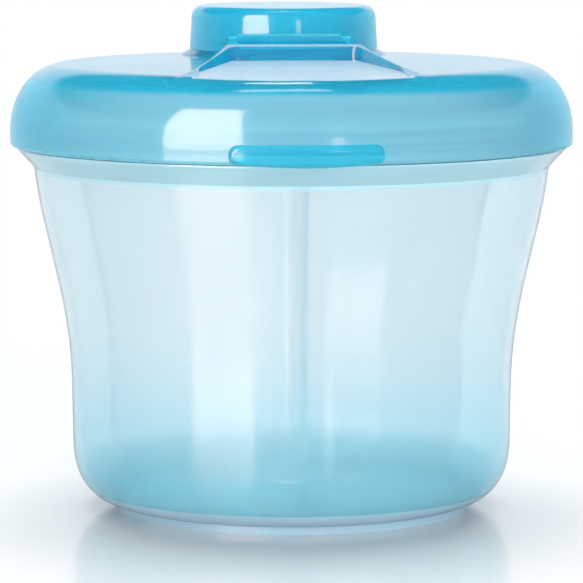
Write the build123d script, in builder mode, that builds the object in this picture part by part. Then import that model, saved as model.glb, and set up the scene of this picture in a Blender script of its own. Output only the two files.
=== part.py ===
"""Formula dispenser: a tub with a lift-out three-way divider, a closure disc, a snap-fit lid that turns to
put its pouring spout over one compartment, and a flip cap on the spout.

Millimetres. +Z is up, and Z = 0 is the surface that the tub stands on. The origin is the centre of the
tub's foot ring. The lid's thumb tab is at the front, towards -Y, and the spout is at the back, towards +Y.
"""

import os
from math import cos, radians, sin, sqrt

from build123d import *

# --- Tub -------------------------------------------------------------------------------------------
wall = 1.6  # side wall of the tub
foot_radius = 35.2  # outer edge of the foot ring
foot_width = 2.0
foot_height = 1.5
base_radius = 43.8  # outer radius of the straight lower wall
base_corner_z = 14.0  # where the rounded bottom corner ends
waist_z = 33.5  # from here the wall flares outwards
waist_radius = 44.5
flare_z = 52.6  # middle of the flare
flare_radius = 48.2
shelf_radius = 54.8  # shelf under the lid's lower edge
shelf_top = 72.8
shelf_bottom = 68.8  # where the underside of the shelf leaves the wall
shelf_edge = 0.3
neck_radius = 51.3  # outer radius of the wall where the shelf starts
floor_z = 4.0  # top of the tub's floor
floor_radius = 36.5  # flat part of the floor, inside
floor_thickness = 1.8
rim_radius = 51.6  # outside of the rim, above the shelf
rim_inner_radius = 49.9
rim_top = 85.6  # the rim reaches up into the lid's shoulder
rim_round_z = 82.9  # from here the rim's outside rounds inwards to its top edge
rim_edge = 0.25
bead_radius = 53.8  # snap bead around the rim
bead_z = 79.0
bead_height = 2.8

# --- Divider ---------------------------------------------------------------------------------------
blade_count = 3
blade_thickness = 1.3
blade_gap = 0.3  # between a blade's edge and the tub's wall
blade_top = 81.6
hub_radius = 3.4
divider_bottom = floor_z + 0.1

# --- Closure disc ----------------------------------------------------------------------------------
disc_radius = rim_inner_radius - 0.3
disc_thickness = 1.4
disc_bottom = blade_top + 0.1
disc_top = disc_bottom + disc_thickness
edge_width = 1.2  # upturned edge of the disc
edge_height = 1.6
socket_wall = 0.9  # upstand around the port, which takes the lower end of the spout
socket_height = 2.2

# --- Spout and lid ---------------------------------------------------------------------------------
spout_y = 31.5  # the spout's axis, behind the lid's centre
bore_radius = 15.8
spout_radius = 17.3
spout_top = 95.0
spout_bottom = disc_bottom + 0.4
lid_wall = 1.5
lid_radius = 56.0
lid_bottom = 73.1
shoulder_z = 76.0  # the shoulder is a quarter ellipse that starts here
shoulder_width = 10.5
shoulder_height = 13.0
dome_rise = 0.6  # rise of the lid's shallow top, from the shoulder to the centre
skirt_edge = 0.35
skirt_edge_height = 0.6
land_radius = bead_radius + 0.05  # inside of the ridge that snaps under the tub's bead
land_z = 75.8
land_height = 2.4
seat_radius = 21.7  # raised seat around the spout, under the cap
seat_limit_radius = 52.0
seat_base_z = 88.9
seat_top = 90.05
seat_taper = 60.0

# --- Thumb tab on the lid's front edge ---------------------------------------------------------------
tab_half_width = 14.6
tab_reach = 57.7
tab_bottom = 72.65  # the middle of its lower edge, which is an arc
tab_end_bottom = 73.4
tab_top = 76.9
tab_top_corner = 1.9
tab_bottom_corner = 1.3
tab_round = 1.1
tab_inner_radius = 55.1  # the pad starts inside the skirt's wall

# --- Hinge and the ramp in front of it ---------------------------------------------------------------
hinge_y = 8.5
hinge_z = 92.9
knuckle_radius = 1.5
knuckle_half_length = 10.45
pin_radius = 1.0
pin_reach = 12.3
pin_clearance = 0.05
block_top = 93.1
block_front_y = -8.0
block_back_y = 11.0
ramp_toe_y = -42.0
ramp_base_z = 88.3
ramp_back_widths = (18.0, 12.9)  # half widths at the bottom and the top, at the back of the block
ramp_front_widths = (18.6, 12.9)  # the same at the block's front
ramp_toe_widths = (26.5, 18.6)  # the same at the ramp's toe
pocket_half_width = 10.7
pocket_front_y = -6.0
pocket_floor = 92.0
pocket_corner = 2.0
knuckle_bay_y = 6.1
knuckle_bay_floor = 90.5
panel_toe_y = -47.5
panel_toe_z = 88.55
panel_slope = 2.2  # degrees
panel_length = 36.8
panel_neck_length = 15.0  # from the toe to where the panel starts to narrow
panel_toe_half_width = 20.5
panel_neck_half_width = 19.2
panel_back_half_width = 12.2
panel_wall_lean = 10.0  # lean of the walls around the panel, in degrees from upright
panel_corner = 1.6
core_half_width = 8.5
core_front_y = -6.0
core_back_y = 4.0
core_top = 90.4

# --- Spout cap -----------------------------------------------------------------------------------------
cap_radius = 19.4
cap_top_radius = 18.9
cap_bottom = 90.3
cap_top = 99.2
cap_wall = 1.5
cap_corner = 2.4
cap_inner_radius = 17.8
plug_radius = 15.4
plug_wall = 1.4
plug_bottom = 93.7
web_bottom = 92.0
web_top = 93.9
lip_half_width = 7.5
lip_reach = 2.4
lip_bottom = 90.9
lip_top = 92.6

os.makedirs("parts", exist_ok=True)
spout_centre = (0, spout_y)


def write(piece, name):
    """Names one finished piece and writes its STEP file."""
    piece.label = name
    export_step(piece, f"parts/{name}.step")


def wall_curve(inset):
    """The tub's flared side wall, from the bottom corner up to the shelf, moved inwards by inset."""
    return Spline(
        (base_radius - inset, base_corner_z),
        (waist_radius - inset, waist_z),
        (flare_radius - inset, flare_z),
        (neck_radius - inset, shelf_bottom),
        tangents=[(0.02, 1), (0.12, 1)],
    )


# --- tub ---------------------------------------------------------------------------------------------
with BuildPart() as tub:
    with BuildSketch(Plane.XZ):
        with BuildLine():
            foot_inner = foot_radius - foot_width
            Line((0, floor_z - floor_thickness), (foot_inner, floor_z - floor_thickness))
            Line((foot_inner, floor_z - floor_thickness), (foot_inner, 0))
            Line((foot_inner, 0), (foot_radius, 0))
            Line((foot_radius, 0), (foot_radius, foot_height))
            Spline(
                (foot_radius, foot_height),
                (42.2, 6.3),
                (base_radius, base_corner_z),
                tangents=[(1, 0.15), (0.02, 1)],
            )
            wall_curve(0)
            Line((neck_radius, shelf_bottom), (shelf_radius, shelf_top - shelf_edge))
            Line((shelf_radius, shelf_top - shelf_edge), (shelf_radius, shelf_top))
            Line((shelf_radius, shelf_top), (rim_radius, shelf_top))
            Line((rim_radius, shelf_top), (rim_radius, bead_z - bead_height / 2))
            ThreePointArc(
                (rim_radius, bead_z - bead_height / 2),
                (bead_radius, bead_z),
                (rim_radius, bead_z + bead_height / 2),
            )
            Line((rim_radius, bead_z + bead_height / 2), (rim_radius, rim_round_z))
            ThreePointArc(
                (rim_radius, rim_round_z),
                (rim_radius - 0.5, rim_round_z + 1.85),
                (rim_inner_radius + rim_edge, rim_top),
            )
            Line((rim_inner_radius + rim_edge, rim_top), (rim_inner_radius, rim_top - rim_edge))
            Line((rim_inner_radius, rim_top - rim_edge), (rim_inner_radius, shelf_top))
            Line((rim_inner_radius, shelf_top), (neck_radius - wall, shelf_bottom))
            wall_curve(wall)
            Spline(
                (base_radius - wall, base_corner_z),
                (40.6, 7.0),
                (floor_radius, floor_z),
                tangents=[(-0.02, -1), (-1, 0)],
            )
            Line((floor_radius, floor_z), (0, floor_z))
            Line((0, floor_z), (0, floor_z - floor_thickness))
        make_face()
    revolve(axis=Axis.Z)
write(tub.part, "tub")

# --- divider -----------------------------------------------------------------------------------------
# Three blades around a hub, trimmed to the inside of the tub.
with BuildPart() as divider:
    with BuildSketch(Plane.XY.offset(divider_bottom)):
        Circle(hub_radius)
        with PolarLocations(0, blade_count, start_angle=-90):
            Rectangle(rim_radius, blade_thickness, align=(Align.MIN, Align.CENTER))
    extrude(amount=blade_top - divider_bottom)
    with BuildSketch(Plane.XZ):
        with BuildLine():
            Line((0, divider_bottom), (floor_radius - blade_gap, divider_bottom))
            Spline(
                (floor_radius - blade_gap, divider_bottom),
                (40.4 - blade_gap, 7.3),
                (base_radius - wall - blade_gap, base_corner_z),
                tangents=[(1, 0), (0.02, 1)],
            )
            wall_curve(wall + blade_gap)
            Line(
                (neck_radius - wall - blade_gap, shelf_bottom),
                (rim_inner_radius - blade_gap, shelf_top),
            )
            Line((rim_inner_radius - blade_gap, shelf_top), (rim_inner_radius - blade_gap, blade_top))
            Line((rim_inner_radius - blade_gap, blade_top), (0, blade_top))
            Line((0, blade_top), (0, divider_bottom))
        make_face()
    revolve(axis=Axis.Z, mode=Mode.INTERSECT)
write(divider.part, "divider")

# --- closure_disc ------------------------------------------------------------------------------------
# Lies on the blades, inside the rim. Its one port is under the spout, so it shuts the other compartments.
socket_inner = spout_radius + pin_clearance
with BuildPart() as closure_disc:
    with BuildSketch(Plane.XY.offset(disc_bottom)):
        Circle(disc_radius)
    extrude(amount=disc_thickness)
    with BuildSketch(Plane.XY.offset(disc_top)):
        Circle(disc_radius)
        Circle(disc_radius - edge_width, mode=Mode.SUBTRACT)
    extrude(amount=edge_height)
    with BuildSketch(Plane.XY.offset(disc_top)):
        with Locations(spout_centre):
            Circle(socket_inner + socket_wall)
        Circle(disc_radius, mode=Mode.INTERSECT)
    extrude(amount=socket_height)
    with BuildSketch(Plane.XY.offset(spout_bottom - pin_clearance)):
        with Locations(spout_centre):
            Circle(socket_inner)
    extrude(amount=disc_thickness + socket_height, mode=Mode.SUBTRACT)
    with BuildSketch(Plane.XY.offset(disc_bottom)):
        with Locations(spout_centre):
            Circle(bore_radius)
    extrude(amount=disc_thickness, mode=Mode.SUBTRACT)
write(closure_disc.part, "closure_disc")

# --- lid ---------------------------------------------------------------------------------------------
shoulder_radius = lid_radius - shoulder_width
dome_z = shoulder_z + shoulder_height
ramp_top = block_top + 1

# The ramp: a flared wedge that rises from the front of the lid to the hinge block.
with BuildPart() as ramp:
    for section_y, (foot, crest) in (
        (block_back_y, ramp_back_widths),
        (block_front_y, ramp_front_widths),
        (ramp_toe_y, ramp_toe_widths),
    ):
        with BuildSketch(Plane.XZ.offset(-section_y)):
            with BuildLine():
                Line((-crest, ramp_top), (crest, ramp_top))
                Spline((crest, ramp_top), (foot, ramp_base_z), tangents=[(0.35, -1), (1, -0.12)])
                Line((foot, ramp_base_z), (-foot, ramp_base_z))
                Spline((-foot, ramp_base_z), (-crest, ramp_top), tangents=[(1, 0.12), (0.35, 1)])
            make_face()
    loft(ruled=True)
    with BuildSketch(Plane.YZ):
        with BuildLine():
            Polyline(
                (ramp_toe_y, ramp_base_z - 2),
                (ramp_toe_y, dome_z - 0.3),
                (block_front_y, block_top),
                (block_back_y, block_top),
                (block_back_y, ramp_base_z - 2),
                close=True,
            )
        make_face()
    extrude(amount=ramp_toe_widths[0] + 1, both=True, mode=Mode.INTERSECT)
    crest_edges = ramp.edges().filter_by_position(Axis.Z, dome_z + 1.2, block_top)
    crest_edges = crest_edges.filter_by(lambda e: abs(e.center().X) > pocket_half_width)
    crest_edges = crest_edges.filter_by(lambda e: abs(e.tangent_at(0.5).Y) > 0.7)
    fillet(crest_edges, radius=0.4)

# The flat panel sunk into the ramp's front.
panel_plane = Plane(
    origin=(0, panel_toe_y, panel_toe_z),
    x_dir=(1, 0, 0),
    z_dir=(0, -sin(radians(panel_slope)), cos(radians(panel_slope))),
)
with BuildPart() as panel_space:
    with BuildSketch(panel_plane):
        with BuildLine():
            Polyline(
                (-panel_toe_half_width, -3),
                (panel_toe_half_width, -3),
                (panel_neck_half_width, panel_neck_length),
                (panel_back_half_width, panel_length),
                (-panel_back_half_width, panel_length),
                (-panel_neck_half_width, panel_neck_length),
                close=True,
            )
        make_face()
        fillet(vertices().group_by(Axis.Y)[-1], radius=panel_corner)
    extrude(amount=6, taper=-panel_wall_lean)

# Thumb tab, a rounded pad that follows the skirt.
tab_height = tab_top - tab_bottom
with BuildPart() as tab:
    with BuildSketch(Plane.XZ.offset(tab_reach)):
        with BuildLine():
            Line((-tab_half_width, tab_end_bottom), (-tab_half_width, tab_top))
            Line((-tab_half_width, tab_top), (tab_half_width, tab_top))
            Line((tab_half_width, tab_top), (tab_half_width, tab_end_bottom))
            ThreePointArc(
                (tab_half_width, tab_end_bottom), (0, tab_bottom), (-tab_half_width, tab_end_bottom)
            )
        make_face()
        fillet(vertices().filter_by(lambda v: v.Y > tab_top - 1), radius=tab_top_corner)
        fillet(vertices().group_by(Axis.Y)[0], radius=tab_bottom_corner)
    extrude(amount=-(tab_reach - tab_inner_radius + 4))
    with BuildSketch(Plane.XY.offset(tab_bottom - 1)):
        Circle(tab_reach)
        Circle(tab_inner_radius, mode=Mode.SUBTRACT)
    extrude(amount=tab_height + 2, mode=Mode.INTERSECT)
    tab_rim = tab.faces().filter_by(lambda f: f.distance_to((0, -tab_reach, tab_top - tab_height / 2)) < 0.01)
    fillet(tab_rim.edges(), radius=tab_round)

with BuildPart() as lid:
    # Outer skin: skirt, elliptical shoulder and shallow top.
    with BuildSketch(Plane.XZ):
        with BuildLine():
            Line((0, lid_bottom), (lid_radius - skirt_edge, lid_bottom))
            TangentArc(
                (lid_radius, lid_bottom + skirt_edge_height),
                (lid_radius - skirt_edge, lid_bottom),
                tangent=(0, -1),
            )
            Line((lid_radius, lid_bottom + skirt_edge_height), (lid_radius, shoulder_z))
            EllipticalCenterArc(
                (shoulder_radius, shoulder_z), shoulder_width, shoulder_height, start_angle=0, arc_size=90
            )
            Line((shoulder_radius, dome_z), (0, dome_z + dome_rise))
            Line((0, dome_z + dome_rise), (0, lid_bottom))
        make_face()
    revolve(axis=Axis.Z)
    # Seat around the spout.
    with BuildSketch(Plane.XY.offset(seat_base_z)) as seat_outline:
        Circle(seat_limit_radius)
        with Locations(spout_centre):
            Circle(seat_radius, mode=Mode.INTERSECT)
    extrude(seat_outline.sketch, amount=seat_top - seat_base_z, taper=seat_taper)
    extrude(seat_outline.sketch, amount=shoulder_z - seat_base_z)
    # Ramp with its panel, and the thumb tab.
    add(ramp.part)
    add(panel_space.part, mode=Mode.SUBTRACT)
    add(tab.part)
    # Inside, the same shape one wall smaller.
    with BuildSketch(Plane.XZ):
        with BuildLine():
            Line((0, lid_bottom), (lid_radius - lid_wall, lid_bottom))
            Line((lid_radius - lid_wall, lid_bottom), (lid_radius - lid_wall, shoulder_z))
            EllipticalCenterArc(
                (shoulder_radius, shoulder_z),
                shoulder_width - lid_wall,
                shoulder_height - lid_wall,
                start_angle=0,
                arc_size=90,
            )
            Line((shoulder_radius, dome_z - lid_wall), (0, dome_z + dome_rise - lid_wall))
            Line((0, dome_z + dome_rise - lid_wall), (0, lid_bottom))
        make_face()
    revolve(axis=Axis.Z, mode=Mode.SUBTRACT)
    # The hinge block is cored out from below.
    with BuildSketch(Plane.XY.offset(dome_z - 2 * lid_wall)):
        with BuildLine():
            Polyline(
                (-core_half_width, core_front_y),
                (core_half_width, core_front_y),
                (core_half_width, core_back_y),
                (-core_half_width, core_back_y),
                close=True,
            )
        make_face()
        fillet(vertices(), radius=1.5)
    extrude(amount=core_top - dome_z + 2 * lid_wall, mode=Mode.SUBTRACT)
    # Ridge inside the skirt, which snaps under the tub's bead.
    with BuildSketch(Plane.XZ):
        with BuildLine():
            Polyline(
                (lid_radius - lid_wall + 0.2, land_z - land_height / 2),
                (land_radius, land_z - land_height / 6),
                (land_radius, land_z + land_height / 6),
                (lid_radius - lid_wall + 0.2, land_z + land_height / 2),
                close=True,
            )
        make_face()
    revolve(axis=Axis.Z)
    # Spout, from the closure disc to its open top.
    with BuildSketch(Plane.XY.offset(spout_bottom)):
        with Locations(spout_centre):
            Circle(spout_radius)
    extrude(amount=spout_top - spout_bottom)
    with BuildSketch(Plane.XY.offset(spout_bottom)):
        with Locations(spout_centre):
            Circle(bore_radius)
    extrude(amount=spout_top - spout_bottom, mode=Mode.SUBTRACT)
    # Pocket in the block's top, the deeper bay for the cap's knuckle, and the two pin holes.
    with BuildSketch(Plane.XY.offset(pocket_floor)):
        with BuildLine():
            Polyline(
                (-pocket_half_width, pocket_front_y),
                (pocket_half_width, pocket_front_y),
                (pocket_half_width, block_back_y + 0.5),
                (-pocket_half_width, block_back_y + 0.5),
                close=True,
            )
        make_face()
        fillet(vertices().group_by(Axis.Y)[0], radius=pocket_corner)
    extrude(amount=2 * (block_top - pocket_floor), mode=Mode.SUBTRACT)
    with BuildSketch(Plane.XY.offset(knuckle_bay_floor)):
        with BuildLine():
            Polyline(
                (-pocket_half_width, knuckle_bay_y),
                (pocket_half_width, knuckle_bay_y),
                (pocket_half_width, block_back_y + 0.5),
                (-pocket_half_width, block_back_y + 0.5),
                close=True,
            )
        make_face()
    extrude(amount=block_top - knuckle_bay_floor, mode=Mode.SUBTRACT)
    with BuildSketch(Plane.YZ):
        with Locations((hinge_y, hinge_z)):
            Circle(pin_radius + pin_clearance)
    extrude(amount=pin_reach + 0.3, both=True, mode=Mode.SUBTRACT)
write(lid.part, "lid")

# --- spout_cap ---------------------------------------------------------------------------------------
with BuildPart() as spout_cap:
    # Drafted cup with a rounded top edge.
    with BuildSketch(Plane.XY.offset(cap_bottom)):
        with Locations(spout_centre):
            Circle(cap_radius)
    with BuildSketch(Plane.XY.offset(cap_top)):
        with Locations(spout_centre):
            Circle(cap_top_radius)
    loft()
    fillet(spout_cap.edges().group_by(Axis.Z)[-1], radius=cap_corner)
    # Web from the cup to the knuckle.
    with BuildSketch(Plane.YZ):
        with BuildLine():
            Polyline(
                (hinge_y, web_bottom),
                (spout_y - cap_radius / 2, web_bottom),
                (spout_y - cap_radius / 2, web_top),
                (hinge_y, web_top),
                close=True,
            )
        make_face()
    extrude(amount=knuckle_half_length, both=True)
    # Lip under a thumb, at the back.
    with BuildSketch(Plane.XY.offset(lip_bottom)):
        with BuildLine():
            lip_y = spout_y + sqrt(cap_radius**2 - lip_half_width**2) - 0.5
            ThreePointArc(
                (-lip_half_width, lip_y), (0, spout_y + cap_radius + lip_reach), (lip_half_width, lip_y)
            )
            Line((lip_half_width, lip_y), (-lip_half_width, lip_y))
        make_face()
    extrude(amount=lip_top - lip_bottom)
    # Inside of the cup.
    with BuildSketch(Plane.XY.offset(cap_bottom)):
        with Locations(spout_centre):
            Circle(cap_inner_radius)
    extrude(amount=cap_top - cap_wall - cap_bottom, mode=Mode.SUBTRACT)
    # Plug ring that closes the spout.
    with BuildSketch(Plane.XY.offset(plug_bottom)):
        with Locations(spout_centre):
            Circle(plug_radius)
            Circle(plug_radius - plug_wall, mode=Mode.SUBTRACT)
    extrude(amount=cap_top - cap_wall - plug_bottom)
    # The skirt is cut back under the web, so that it clears the spout as the cap swings.
    with BuildSketch(Plane.XY.offset(cap_bottom)):
        with Locations((0, spout_y - cap_radius)):
            Rectangle(2 * pocket_half_width + 3, 16)
    extrude(amount=web_bottom - cap_bottom, mode=Mode.SUBTRACT)
    # Knuckle and its two pins.
    with BuildSketch(Plane.YZ):
        with Locations((hinge_y, hinge_z)):
            Circle(knuckle_radius)
    extrude(amount=knuckle_half_length, both=True)
    with BuildSketch(Plane.YZ):
        with Locations((hinge_y, hinge_z)):
            Circle(pin_radius)
    extrude(amount=pin_reach, both=True)
write(spout_cap.part, "spout_cap")
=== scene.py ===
"""The formula dispenser's looks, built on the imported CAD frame. Metres, +Z up, the front towards -Y."""

from math import cos, log, pi, radians, sin, tan

import bpy
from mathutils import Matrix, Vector

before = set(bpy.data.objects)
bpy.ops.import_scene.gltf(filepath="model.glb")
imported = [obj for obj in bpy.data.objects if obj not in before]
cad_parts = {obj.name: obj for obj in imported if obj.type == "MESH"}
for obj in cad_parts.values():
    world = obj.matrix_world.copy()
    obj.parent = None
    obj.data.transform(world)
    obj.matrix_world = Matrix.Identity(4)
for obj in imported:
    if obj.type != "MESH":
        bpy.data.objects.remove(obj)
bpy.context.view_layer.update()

MM = 0.001
SKIN_IOR = 1.49
BODY_IOR = 1.28  # under the skin, where cloudiness has already bent most of the light

# The flat panel on the lid, in front of the hinge.
PANEL_TOE_Y = -47.5 * MM
PANEL_TOE_Z = 88.55 * MM
PANEL_SLOPE = radians(2.2)
PANEL_LENGTH = 36.8 * MM
PANEL_HALF_WIDTH = 21.0 * MM
PANEL_OFF_PLANE = 0.12 * MM  # how far off the panel's plane still counts as on it

# Places where the look of the plastic changes. A pair is where the change starts and where it ends.
# Heights above which the painted side shade of the lid and the cap stops.
LID_SIDE_SHADE_TOP = 88.0 * MM
CAP_SIDE_SHADE_TOP = 99.0 * MM
SKIRT_SHEEN_TOP = (86.6 * MM, 85.3 * MM)  # below it, the tub's rim is behind the lid's skirt; there the skirt is painted paler, painted light standing in for the frosted rim showing through and the bright room it reflects
TAB_RADIUS = (56.1 * MM, 56.5 * MM)  # the thumb tab is all that reaches past the skirt
FLANGE = (68.0 * MM, 73.0 * MM)
BLUE_BOTTOM = (45.0 * MM, 8.0 * MM)
SHINY_WALL = (6.0 * MM, 40.0 * MM)
# Below these heights the tub's outside is painted pale: painted light for light coming through the thick
# base corner.
GLOW_BORDER_TOP = (4.6 * MM, 4.2 * MM)
# Heights of the inner floor that is painted deep blue, partly its own thicker tint and partly painted shade.
FLOOR_PLATE = (2.0 * MM, 10.0 * MM)

# Light that a wall one millimetre thick lets through, in linear red, green and blue.
LID_CLARITY = (0.60, 0.96, 0.985)
CAP_CLARITY = (0.55, 0.955, 0.985)
TUB_CLARITY = (0.92, 0.975, 0.99)
DIVIDER_CLARITY = (0.98, 0.994, 0.998)
DISC_CLARITY = (0.88, 0.96, 0.98)
PALE_CLOUD = (0.80, 0.94, 1.0)

# Radiance of the backdrop, of the room ahead of the dispenser, and of the dim part high up behind it.
BACKDROP = 1.0
AHEAD = 0.7
HIGH_BEHIND = 0.15
BACKDROP_EDGE = (23.0, 27.0)  # elevations between which the backdrop ends, in degrees
WARM_WHITE = (1.0, 0.66, 0.56)  # reads as white over the blue plastic

# The camera, in front and a little to the left.
CAMERA_AZIMUTH = -3.0  # degrees from the front, towards +X
CAMERA_DISTANCE = 796 * MM
CAMERA_HEIGHT = 134.6 * MM
CAMERA_TILT = radians(6.55)  # downwards
CAMERA_LENS = 247.0  # millimetres, on a sensor 36 mm wide


# --- materials ----------------------------------------------------------------------------------------
def new_material(name):
    """An empty node material, with its node tree and output."""
    material = bpy.data.materials.new(name)
    material.use_nodes = True
    tree = material.node_tree
    tree.nodes.clear()
    return material, tree, tree.nodes.new("ShaderNodeOutputMaterial")


def link_or_set(tree, socket, value):
    """Gives a node's input a number, a colour or another node's output."""
    if isinstance(value, bpy.types.NodeSocket):
        tree.links.new(value, socket)
    elif isinstance(value, tuple):
        socket.default_value = (*value, 1)
    else:
        socket.default_value = value


def math_node(tree, operation, *values):
    """A maths node on numbers or other nodes' outputs; returns its output."""
    node = tree.nodes.new("ShaderNodeMath")
    node.operation = operation
    for socket, value in zip(node.inputs, values):
        link_or_set(tree, socket, value)
    return node.outputs["Value"]


def soft_step(tree, value, start, end):
    """0 where value is before start, 1 where it is past end, and smooth between."""
    node = tree.nodes.new("ShaderNodeMapRange")
    node.interpolation_type = "SMOOTHSTEP"
    node.inputs["From Min"].default_value = start
    node.inputs["From Max"].default_value = end
    tree.links.new(value, node.inputs["Value"])
    return node.outputs["Result"]


def window(tree, value, low, high, edge):
    """1 where value is between low and high, and 0 outside, with smooth edges."""
    rise = soft_step(tree, value, low - edge / 2, low + edge / 2)
    fall = soft_step(tree, value, high + edge / 2, high - edge / 2)
    return math_node(tree, "MULTIPLY", rise, fall)


def place_on_piece(tree):
    """The X, Y and Z of a point on its piece, in metres, and the same as one vector."""
    place = tree.nodes.new("ShaderNodeTexCoord")
    split = tree.nodes.new("ShaderNodeSeparateXYZ")
    tree.links.new(place.outputs["Object"], split.inputs["Vector"])
    return split.outputs["X"], split.outputs["Y"], split.outputs["Z"], place.outputs["Object"]


def facing_on_piece(tree):
    """The X, Y and Z of a surface's normal, along its piece's axes."""
    place = tree.nodes.new("ShaderNodeTexCoord")
    split = tree.nodes.new("ShaderNodeSeparateXYZ")
    tree.links.new(place.outputs["Normal"], split.inputs["Vector"])
    return split.outputs["X"], split.outputs["Y"], split.outputs["Z"]


def on_outside(tree):
    """1 on the outside of a piece that is round about its Z axis, and 0 on its inside."""
    x, y, _, _ = place_on_piece(tree)
    normal_x, normal_y, _ = facing_on_piece(tree)
    outwards = math_node(tree, "MULTIPLY_ADD", x, normal_x, math_node(tree, "MULTIPLY", y, normal_y))
    geometry = tree.nodes.new("ShaderNodeNewGeometry")
    in_front = math_node(tree, "SUBTRACT", 1.0, geometry.outputs["Backfacing"])
    return math_node(tree, "MULTIPLY", math_node(tree, "GREATER_THAN", outwards, 0.0), in_front)


def radius_on_piece(tree):
    """The distance of a point from its piece's Z axis, in metres."""
    x, y, _, _ = place_on_piece(tree)
    squares = math_node(tree, "ADD", math_node(tree, "MULTIPLY", x, x), math_node(tree, "MULTIPLY", y, y))
    return math_node(tree, "SQRT", squares)


def blend(tree, share, first, second):
    """The second colour by that share, over the first."""
    mix = tree.nodes.new("ShaderNodeMix")
    mix.data_type = "RGBA"
    factor, one, two = (mix.inputs[i] for i in (0, 6, 7))
    for socket, value in ((factor, share), (one, first), (two, second)):
        link_or_set(tree, socket, value)
    return mix.outputs[2]


def ripple(tree, scale, depth):
    """A faint unevenness of the surface, as moulded plastic has; returns its noise and its normal."""
    noise = tree.nodes.new("ShaderNodeTexNoise")
    noise.inputs["Scale"].default_value = scale
    noise.inputs["Detail"].default_value = 2.0
    tree.links.new(place_on_piece(tree)[3], noise.inputs["Vector"])
    bump = tree.nodes.new("ShaderNodeBump")
    bump.inputs["Strength"].default_value = 1.0
    bump.inputs["Distance"].default_value = depth
    tree.links.new(noise.outputs["Fac"], bump.inputs["Height"])
    return noise.outputs["Fac"], bump.outputs["Normal"]


def coated(tree, colour, transmission, roughness, gloss, normal, skin=0.85):
    """A plastic layer under a smooth skin. Roughness is of the layer, and gloss is the skin's roughness."""
    principled = tree.nodes.new("ShaderNodeBsdfPrincipled")
    link_or_set(tree, principled.inputs["Base Color"], colour)
    principled.inputs["IOR"].default_value = BODY_IOR
    principled.inputs["Transmission Weight"].default_value = transmission
    link_or_set(tree, principled.inputs["Roughness"], roughness)
    link_or_set(tree, principled.inputs["Coat Weight"], skin)
    principled.inputs["Coat Roughness"].default_value = gloss
    principled.inputs["Coat IOR"].default_value = SKIN_IOR
    for socket in ("Normal", "Coat Normal"):
        tree.links.new(normal, principled.inputs[socket])
    return principled.outputs["BSDF"]


def mix_shaders(tree, share, first, second):
    """The second shader by that share, over the first."""
    mix = tree.nodes.new("ShaderNodeMixShader")
    link_or_set(tree, mix.inputs["Fac"], share)
    tree.links.new(first, mix.inputs[1])
    tree.links.new(second, mix.inputs[2])
    return mix.outputs["Shader"]


def facing_away(tree, start, end):
    """0 where a surface faces the viewer, up to 1 where it turns away."""
    weight = tree.nodes.new("ShaderNodeLayerWeight")
    weight.inputs["Blend"].default_value = 0.5
    return soft_step(tree, weight.outputs["Facing"], start, end)


def cloudy_plastic(name, clarity, cloud, roughness, gloss, details=None):
    """Cloudy moulded plastic, which absorbs by thickness.

    The cloud is a function that gives the haze, which is the share of light that the plastic scatters, the
    haze's colour, and how strong the skin is.
    """
    material, tree, output = new_material(name)
    noise, normal = ripple(tree, 60, 0.02 * MM)
    spread = math_node(tree, "MULTIPLY_ADD", noise, 0.4 * roughness, 0.8 * roughness)
    haze, haze_colour, skin = cloud(tree)
    clear = coated(tree, (1.0, 1.0, 1.0), 1.0, spread, gloss, normal, skin)
    cloudy = coated(tree, haze_colour, 0.0, spread, gloss, normal, skin)
    through = tree.nodes.new("ShaderNodeBsdfTranslucent")
    link_or_set(tree, through.inputs["Color"], haze_colour)
    cloudy = mix_shaders(tree, 0.3, cloudy, through.outputs["BSDF"])
    shader = mix_shaders(tree, haze, clear, cloudy)
    if details:
        shader = details(tree, shader, normal)
    tree.links.new(shader, output.inputs["Surface"])
    # exp(-density * (1 - colour) * thickness) is what a wall lets through.
    absorbed = [-log(share) / MM for share in clarity]
    density = max(absorbed) * 1.02
    volume = tree.nodes.new("ShaderNodeVolumeAbsorption")
    volume.inputs["Color"].default_value = (*(1 - a / density for a in absorbed), 1)
    volume.inputs["Density"].default_value = density
    tree.links.new(volume.outputs["Volume"], output.inputs["Volume"])
    return material


def frosted_panel(tree, shader, normal):
    """Adds the pale satin finish of the flat panel on the lid."""
    x, y, z, _ = place_on_piece(tree)
    ahead = math_node(tree, "SUBTRACT", y, PANEL_TOE_Y)
    plane_z = math_node(tree, "MULTIPLY_ADD", ahead, tan(PANEL_SLOPE), PANEL_TOE_Z)
    off_plane = math_node(tree, "ABSOLUTE", math_node(tree, "SUBTRACT", z, plane_z))
    on_plane = math_node(tree, "LESS_THAN", off_plane, PANEL_OFF_PLANE)
    inside = window(tree, y, PANEL_TOE_Y - 1 * MM, PANEL_TOE_Y + PANEL_LENGTH, 0.5 * MM)
    narrow = math_node(tree, "LESS_THAN", math_node(tree, "ABSOLUTE", x), PANEL_HALF_WIDTH)
    share = math_node(tree, "MULTIPLY", math_node(tree, "MULTIPLY", on_plane, inside), narrow)
    satin = coated(tree, (0.44, 0.56, 0.65), 0.0, 0.5, 0.3, normal)
    return mix_shaders(tree, math_node(tree, "MULTIPLY", share, 0.85), shader, satin)


def even_cloud(haze, colour, skin):
    """The same haze, colour and skin all over a piece."""
    return lambda tree: (haze, colour, skin)


def side_shade_mask(tree, z, top):
    """1 where a piece's side wall, below top, turns away from the viewer: where painted shade deepens the
    sides.
    """
    return math_node(tree, "MULTIPLY", facing_away(tree, 0.5, 0.9), soft_step(tree, z, top, top - 3 * MM))


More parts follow.
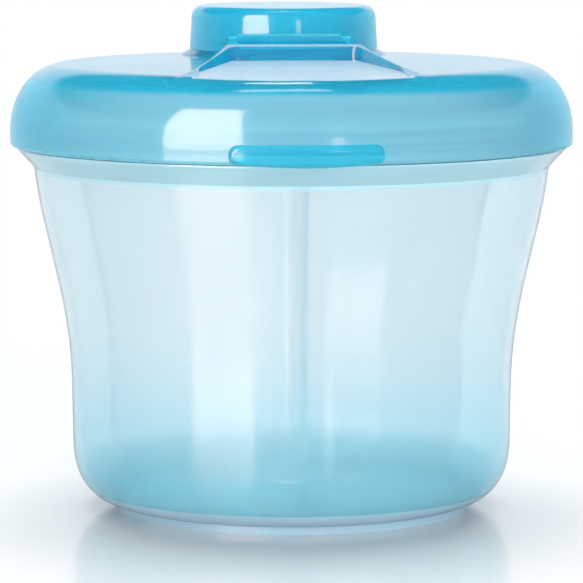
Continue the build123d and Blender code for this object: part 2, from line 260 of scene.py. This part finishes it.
def lid_cloud(tree):
    """The lid: painted paler on the skirt where it faces the viewer, painted light for the tub's frosted rim
    behind it and the bright room it reflects; deep on the thick tab; and painted deeper shade at the sides,
    where they turn away.
    """
    z = place_on_piece(tree)[2]
    edge = side_shade_mask(tree, z, LID_SIDE_SHADE_TOP)
    tab = soft_step(tree, radius_on_piece(tree), *TAB_RADIUS)
    off_tab = math_node(tree, "SUBTRACT", 1.0, tab)
    facing = math_node(tree, "MULTIPLY_ADD", facing_away(tree, 0.25, 0.75), -0.85, 1.0)
    # Painted sheen: off the tab, the skirt gets more haze in a paler blue where it faces the viewer.
    pale = math_node(tree, "MULTIPLY", soft_step(tree, z, *SKIRT_SHEEN_TOP), off_tab)
    pale = math_node(tree, "MULTIPLY", pale, facing)
    haze = math_node(tree, "MULTIPLY_ADD", pale, 0.12, 0.35)
    # Painted shade: the sides that turn away get more deep blue haze and less skin.
    haze = math_node(tree, "MULTIPLY_ADD", edge, 0.4, haze)
    skin = math_node(tree, "MULTIPLY_ADD", edge, -0.45, 0.6)
    return haze, blend(tree, pale, (0.02, 0.67, 0.94), (0.36, 0.72, 0.87)), skin


def cap_cloud(tree):
    """The cap: painted deeper shade where its side turns away."""
    edge = side_shade_mask(tree, place_on_piece(tree)[2], CAP_SIDE_SHADE_TOP)
    # Painted shade: more deep blue haze and less skin where the side turns away.
    haze = math_node(tree, "MULTIPLY_ADD", edge, 0.4, 0.42)
    skin = math_node(tree, "MULTIPLY_ADD", edge, -0.5, 0.70)
    return haze, (0.03, 0.77, 1.0), skin


def tub_cloud(tree):
    """The tub: bluer at the flange and towards the bottom, with a pale border painted as light through the
    base corner, under a deep blue floor that is partly its own tint and partly painted shade.
    """
    z = place_on_piece(tree)[2]
    outside = on_outside(tree)
    upwards = soft_step(tree, facing_on_piece(tree)[2], 0.0, 0.6)
    low = soft_step(tree, z, *BLUE_BOTTOM)
    # Painted light: the outer bottom border is painted pale, for light coming through the thick base corner.
    glow_border = math_node(tree, "MULTIPLY", soft_step(tree, z, *GLOW_BORDER_TOP), outside)
    # The upward-facing inner floor is painted deep blue: partly its own thicker tint, partly painted shade
    # of the shadow under the tub.
    plate_tint_and_shade = math_node(tree, "MULTIPLY", upwards, window(tree, z, *FLOOR_PLATE, 2 * MM))
    flange = math_node(tree, "MULTIPLY", window(tree, z, *FLANGE, 1 * MM), outside)
    haze = math_node(tree, "MULTIPLY_ADD", low, 0.12, 0.32)
    haze = math_node(tree, "MULTIPLY_ADD", outside, haze, 0.07)
    haze = math_node(tree, "MULTIPLY_ADD", glow_border, 0.40, haze)
    haze = math_node(tree, "MULTIPLY_ADD", plate_tint_and_shade, 0.45, haze)
    haze = math_node(tree, "MULTIPLY_ADD", flange, 0.32, haze)
    skin = math_node(tree, "MULTIPLY_ADD", soft_step(tree, z, *SHINY_WALL), 0.35, 0.25)
    colour = blend(tree, low, PALE_CLOUD, (0.32, 0.84, 1.0))
    colour = blend(tree, flange, colour, (0.56, 0.92, 1.0))
    colour = blend(tree, glow_border, colour, (0.60, 0.86, 1.0))
    return haze, blend(tree, plate_tint_and_shade, colour, (0.08, 0.72, 0.98)), skin


def painted_edge_shade(tree, shader, normal):
    """Adds a painted line of grey shade where the tub's walls turn away."""
    line = tree.nodes.new("ShaderNodeBsdfDiffuse")
    line.inputs["Color"].default_value = (0.32, 0.40, 0.48, 1)
    tree.links.new(normal, line.inputs["Normal"])
    share = math_node(tree, "MULTIPLY", facing_away(tree, 0.84, 0.97), 0.85)
    return mix_shaders(tree, share, shader, line.outputs["BSDF"])


def floor_material():
    """Pale, slightly glossy studio floor."""
    material, tree, output = new_material("pale_floor")
    principled = tree.nodes.new("ShaderNodeBsdfPrincipled")
    principled.inputs["Base Color"].default_value = (0.71, 0.70, 0.69, 1)
    principled.inputs["Roughness"].default_value = 0.15
    principled.inputs["Specular IOR Level"].default_value = 1.0
    tree.links.new(principled.outputs["BSDF"], output.inputs["Surface"])
    return material


def dress(node, material):
    """Puts one material on a CAD node."""
    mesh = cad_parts[node].data
    mesh.materials.clear()
    mesh.materials.append(material)


divider_cloud = even_cloud(0.15, PALE_CLOUD, 0.4)
disc_cloud = even_cloud(0.15, PALE_CLOUD, 0.85)
dress("lid", cloudy_plastic("blue_lid", LID_CLARITY, lid_cloud, 0.15, 0.04, frosted_panel))
dress("spout_cap", cloudy_plastic("blue_cap", CAP_CLARITY, cap_cloud, 0.15, 0.03))
dress("tub", cloudy_plastic("frosted_body", TUB_CLARITY, tub_cloud, 0.07, 0.10, painted_edge_shade))
dress("divider", cloudy_plastic("frosted_divider", DIVIDER_CLARITY, divider_cloud, 0.16, 0.12))
dress("closure_disc", cloudy_plastic("clear_disc", DISC_CLARITY, disc_cloud, 0.15, 0.08))


# --- stage --------------------------------------------------------------------------------------------
def make_floor(half_size):
    """A plain square floor at Z = 0."""
    mesh = bpy.data.meshes.new("floor")
    corners = [(-1, -1), (1, -1), (1, 1), (-1, 1)]
    mesh.from_pydata([(x * half_size, y * half_size, 0) for x, y in corners], [], [(0, 1, 2, 3)])
    mesh.materials.append(floor_material())
    floor = bpy.data.objects.new("floor", mesh)
    bpy.context.scene.collection.objects.link(floor)


def around(azimuth, elevation, distance, target):
    """The point at that azimuth from the front (-Y), towards +X, and elevation from a target, in degrees."""
    a, e = radians(azimuth), radians(elevation)
    return target + distance * Vector((sin(a) * cos(e), -cos(a) * cos(e), sin(e)))


def light_panel(name, location, rotation, size, radiance, colour=(1.0, 1.0, 1.0)):
    """A flat panel of light, for its highlights only; rotation is in degrees, and 0 shines downwards."""
    light = bpy.data.lights.new(name, "AREA")
    light.shape = "RECTANGLE"
    light.size, light.size_y = size
    light.energy = radiance * pi * light.size * light.size_y
    light.color = colour
    lamp = bpy.data.objects.new(name, light)
    lamp.location = location
    lamp.rotation_euler = [radians(angle) for angle in rotation]
    lamp.visible_camera = False
    lamp.visible_diffuse = False
    bpy.context.scene.collection.objects.link(lamp)


def soft_light(name, rotation, irradiance, spread):
    """Broad soft light for the floor and the cloudy plastic, without highlights."""
    light = bpy.data.lights.new(name, "SUN")
    light.energy = irradiance
    light.angle = radians(spread)
    lamp = bpy.data.objects.new(name, light)
    lamp.rotation_euler = [radians(angle) for angle in rotation]
    lamp.visible_glossy = False
    lamp.visible_transmission = False
    bpy.context.scene.collection.objects.link(lamp)


def light_room():
    """An even white studio, brighter ahead of the dispenser and dimmer high up behind it."""
    world = bpy.data.worlds.new("studio")
    bpy.context.scene.world = world
    world.use_nodes = True
    tree = world.node_tree
    tree.nodes.clear()
    place = tree.nodes.new("ShaderNodeTexCoord")
    split = tree.nodes.new("ShaderNodeSeparateXYZ")
    tree.links.new(place.outputs["Generated"], split.inputs["Vector"])
    forward = math_node(tree, "MULTIPLY", split.outputs["Y"], -1.0)
    elevation = math_node(tree, "ARCSINE", split.outputs["Z"])
    elevation = math_node(tree, "DEGREES", elevation)
    behind = soft_step(tree, forward, 0.25, -0.25)
    high_up = soft_step(tree, elevation, *BACKDROP_EDGE)
    dim = math_node(tree, "MULTIPLY", behind, high_up)
    total = math_node(tree, "MULTIPLY_ADD", dim, HIGH_BEHIND - BACKDROP, BACKDROP)
    ahead = math_node(tree, "SUBTRACT", 1.0, behind)
    total = math_node(tree, "MULTIPLY_ADD", ahead, AHEAD - BACKDROP, total)
    background = tree.nodes.new("ShaderNodeBackground")
    background.inputs["Color"].default_value = (0.93, 1.0, 1.06, 1)
    tree.links.new(total, background.inputs["Strength"])
    output = tree.nodes.new("ShaderNodeOutputWorld")
    tree.links.new(background.outputs["Background"], output.inputs["Surface"])


make_floor(6.0)
light_room()
soft_light("top_light", (-18, 0, 0), 3.0, 45)
soft_light("fill_light", (87, 0, 10), 3.3, 60)
light_panel("left_softbox", (-1.04, -1.218, 0.97), (90, -5, -38), (0.96, 2.1), 14.0, WARM_WHITE)
light_panel("right_strip", (0.43, -1.54, 0.28), (90, 0, 15.6), (0.16, 0.26), 7.0, WARM_WHITE)
light_panel("overhead", (-0.035, 0.13, 1.6), (0, 0, 0), (0.52, 0.14), 6.0)
light_panel("rear_top", (-0.005, 0.80, 1.4), (29, 0, 180), (0.22, 0.09), 10.0)

# --- camera -------------------------------------------------------------------------------------------
camera_data = bpy.data.cameras.new("camera")
camera_data.sensor_width = 36
camera_data.lens = CAMERA_LENS
camera = bpy.data.objects.new("camera", camera_data)
pivot = Vector((0, 0, CAMERA_HEIGHT))
camera.location = around(CAMERA_AZIMUTH, 0, CAMERA_DISTANCE, pivot)
heading = (pivot - camera.location).normalized()
look = heading * cos(CAMERA_TILT) - Vector((0, 0, sin(CAMERA_TILT)))
camera.rotation_euler = look.to_track_quat("-Z", "Y").to_euler()
camera_data.clip_start = 0.01
camera_data.clip_end = 100
bpy.context.scene.collection.objects.link(camera)
bpy.context.scene.camera = camera

scene = bpy.context.scene
scene.view_settings.view_transform = "Standard"
scene.cycles.max_bounces = 24
scene.cycles.transmission_bounces = 24
scene.cycles.glossy_bounces = 12
scene.cycles.transparent_max_bounces = 16
